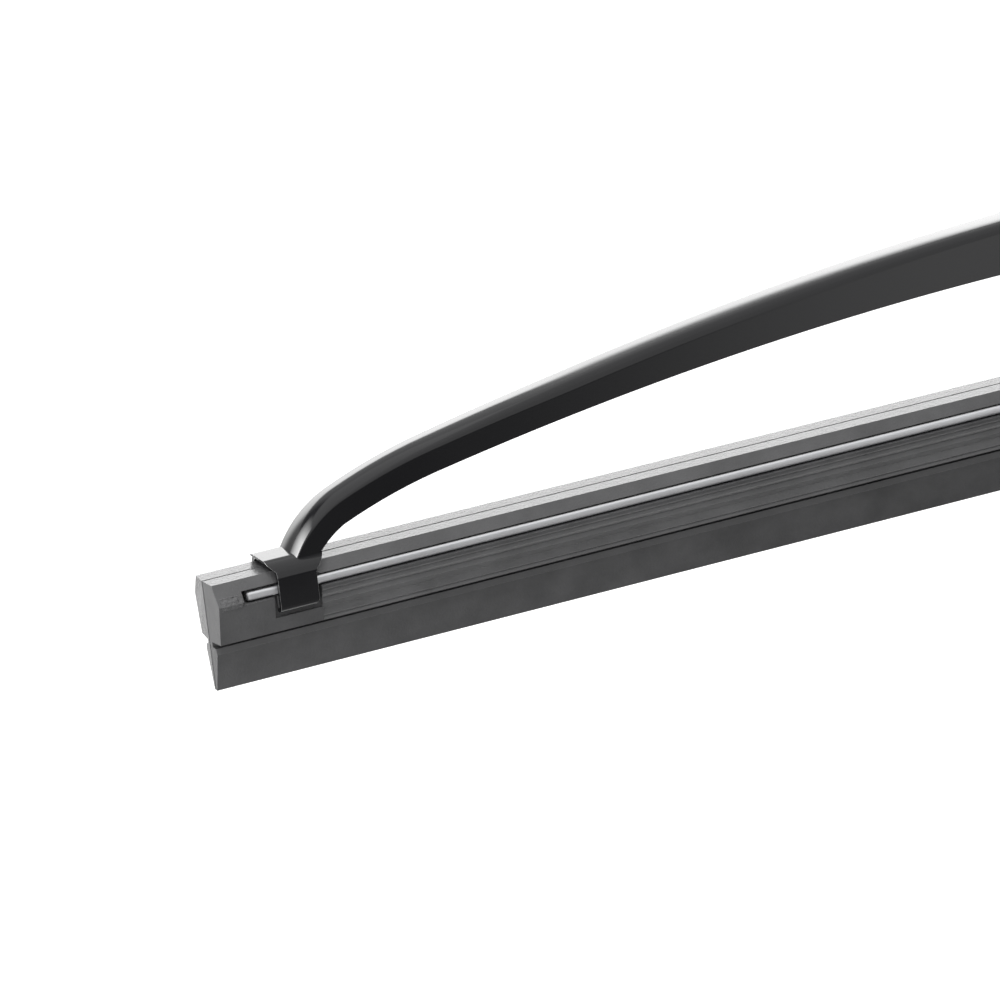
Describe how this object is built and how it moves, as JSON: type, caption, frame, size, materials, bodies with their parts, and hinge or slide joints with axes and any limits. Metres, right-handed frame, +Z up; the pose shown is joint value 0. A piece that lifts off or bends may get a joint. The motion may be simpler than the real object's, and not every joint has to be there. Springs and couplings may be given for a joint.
{
  "type": "wiper blade",
  "caption": "Arched metal wiper blade: end claws hold a moulded rubber with steel rails, and a hook adapter swivels in the middle of the bow.",
  "frame": {"origin": "middle of the pivot rivet, in the middle of the blade", "axes": "+X along the blade, +Y across it, +Z up from the wiping lip to the bow, away from the glass"},
  "size_m": [0.2806, 0.015, 0.0393],
  "materials": {
    "bow_paint": "gloss black paint",
    "dark_rubber": "satin moulded rubber",
    "rail_steel": "bright rolled steel",
    "rivet_steel": "dull steel",
    "adapter_plastic": "matt black plastic"
  },
  "bodies": {
    "adapter": {"arm_adapter": "adapter_plastic"},
    "blade": {"bow": "bow_paint", "wiping_rubber": "dark_rubber", "front_rail": "rail_steel", "rear_rail": "rail_steel", "pivot_rivet": "rivet_steel"}
  },
  "joints": [
    {"name": "blade_swivel", "type": "hinge", "parent": "adapter", "child": "blade", "pos_m": [0, 0, 0], "axis": [0, 1, 0], "range_deg": [-18, 18]}
  ]
}
